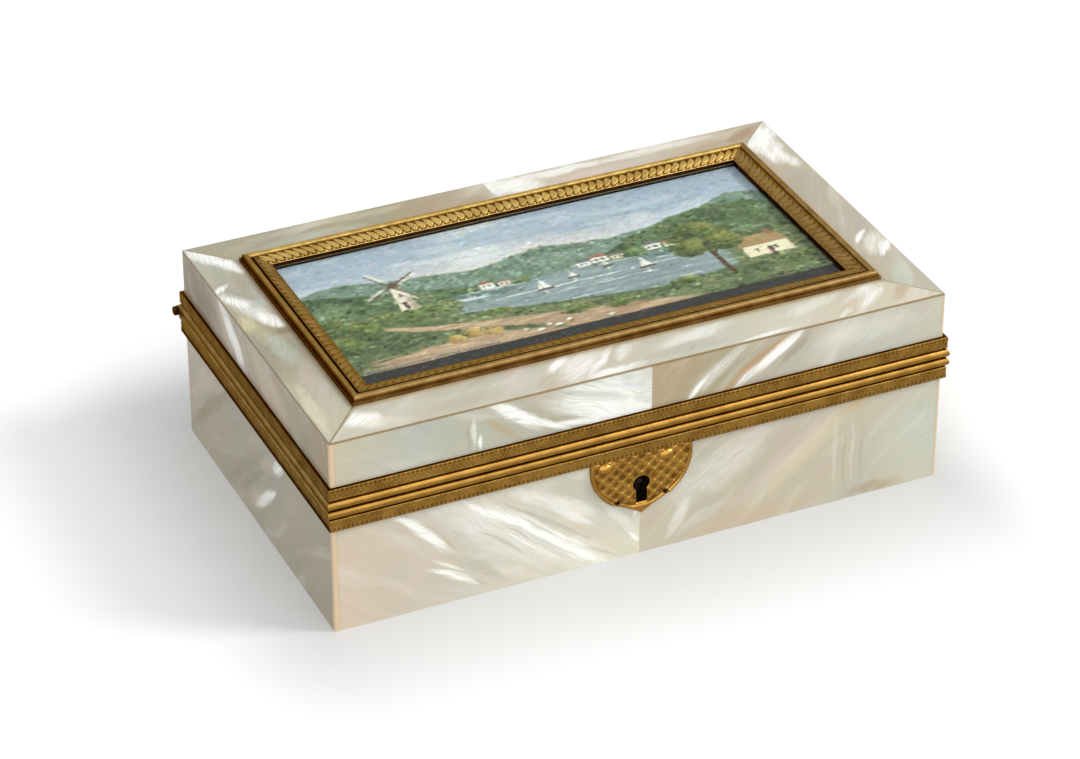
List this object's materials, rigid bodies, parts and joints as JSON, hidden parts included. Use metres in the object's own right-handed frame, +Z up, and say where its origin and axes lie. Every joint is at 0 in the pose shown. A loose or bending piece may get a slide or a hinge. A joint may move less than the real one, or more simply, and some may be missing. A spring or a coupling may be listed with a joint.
{
  "type": "sewing box",
  "caption": "Low rectangular sewing box of nacre plates with gilt rims, a hinged lid with a framed picture under glass, a lock, and a lift-out tray with a pincushion.",
  "frame": {"origin": "centre of the underside of the box", "axes": "+X along the front to the viewer's right, +Y to the hinge, +Z up"},
  "size_m": [0.1702, 0.1036, 0.0562],
  "materials": {
    "nacre": "polished mother-of-pearl, lustrous, with pale bands",
    "gilt_brass": "gilt, chased, brown in the hollows",
    "plain_brass": "filed brass",
    "steel": "dull steel",
    "carcass_wood": "planed hardwood",
    "tray_board": "thin board covered with paper",
    "silk": "ivory silk",
    "velvet": "crimson velvet",
    "picture_glass": "clear flat glass",
    "picture_panel": "painted card"
  },
  "bodies": {
    "base": {"base_board_floor": "carcass_wood", "base_board_front": "carcass_wood", "base_board_back": "carcass_wood", "base_board_left": "carcass_wood", "base_board_right": "carcass_wood", "base_nacre_front_left": "nacre", "base_nacre_front_right": "nacre", "base_nacre_left": "nacre", "base_nacre_right": "nacre", "base_nacre_back": "nacre", "base_rim_front": "gilt_brass", "base_rim_back": "gilt_brass", "base_rim_left": "gilt_brass", "base_rim_right": "gilt_brass", "base_hinge_leaf": "gilt_brass", "hinge_pin": "gilt_brass", "escutcheon": "gilt_brass", "escutcheon_pins": "gilt_brass", "lock_case": "plain_brass", "key_pin": "steel", "lock_spring": "steel", "lock_screws": "steel", "base_lining": "silk", "tray_supports": "tray_board"},
    "lid": {"lid_board_top": "carcass_wood", "lid_board_sides": "carcass_wood", "lid_nacre_front_left": "nacre", "lid_nacre_front_right": "nacre", "lid_nacre_left": "nacre", "lid_nacre_right": "nacre", "lid_nacre_back": "nacre", "border_front_left": "nacre", "border_front_right": "nacre", "border_back_left": "nacre", "border_back_right": "nacre", "border_left": "nacre", "border_right": "nacre", "lid_rim_front": "gilt_brass", "lid_rim_back": "gilt_brass", "lid_rim_left": "gilt_brass", "lid_rim_right": "gilt_brass", "lid_hinge_leaf": "gilt_brass", "strike_plate": "plain_brass", "strike_screws": "steel", "lid_lining": "silk", "lid_pad": "silk", "picture_frame_front": "gilt_brass", "picture_frame_back": "gilt_brass", "picture_frame_left": "gilt_brass", "picture_frame_right": "gilt_brass", "picture_glass": "picture_glass", "picture_panel": "picture_panel"},
    "bolt": {"lock_bolt": "plain_brass"},
    "tray": {"tray_base": "tray_board", "tray_frame": "tray_board", "tray_dividers": "tray_board", "tray_pads": "silk", "pincushion": "velvet", "tray_ribbons": "silk"}
  },
  "joints": [
    {"name": "lid_hinge", "type": "hinge", "parent": "base", "child": "lid", "pos_m": [0, 0.05125, 0.0356], "axis": [-1, 0, 0], "range_deg": [0, 98]},
    {"name": "bolt_slide", "type": "slide", "parent": "base", "child": "bolt", "axis": [1, 0, 0], "range_m": [0, 0.0016]},
    {"name": "tray_lift", "type": "slide", "parent": "base", "child": "tray", "axis": [0, 0, 1], "range_m": [0, 0.01]}
  ]
}
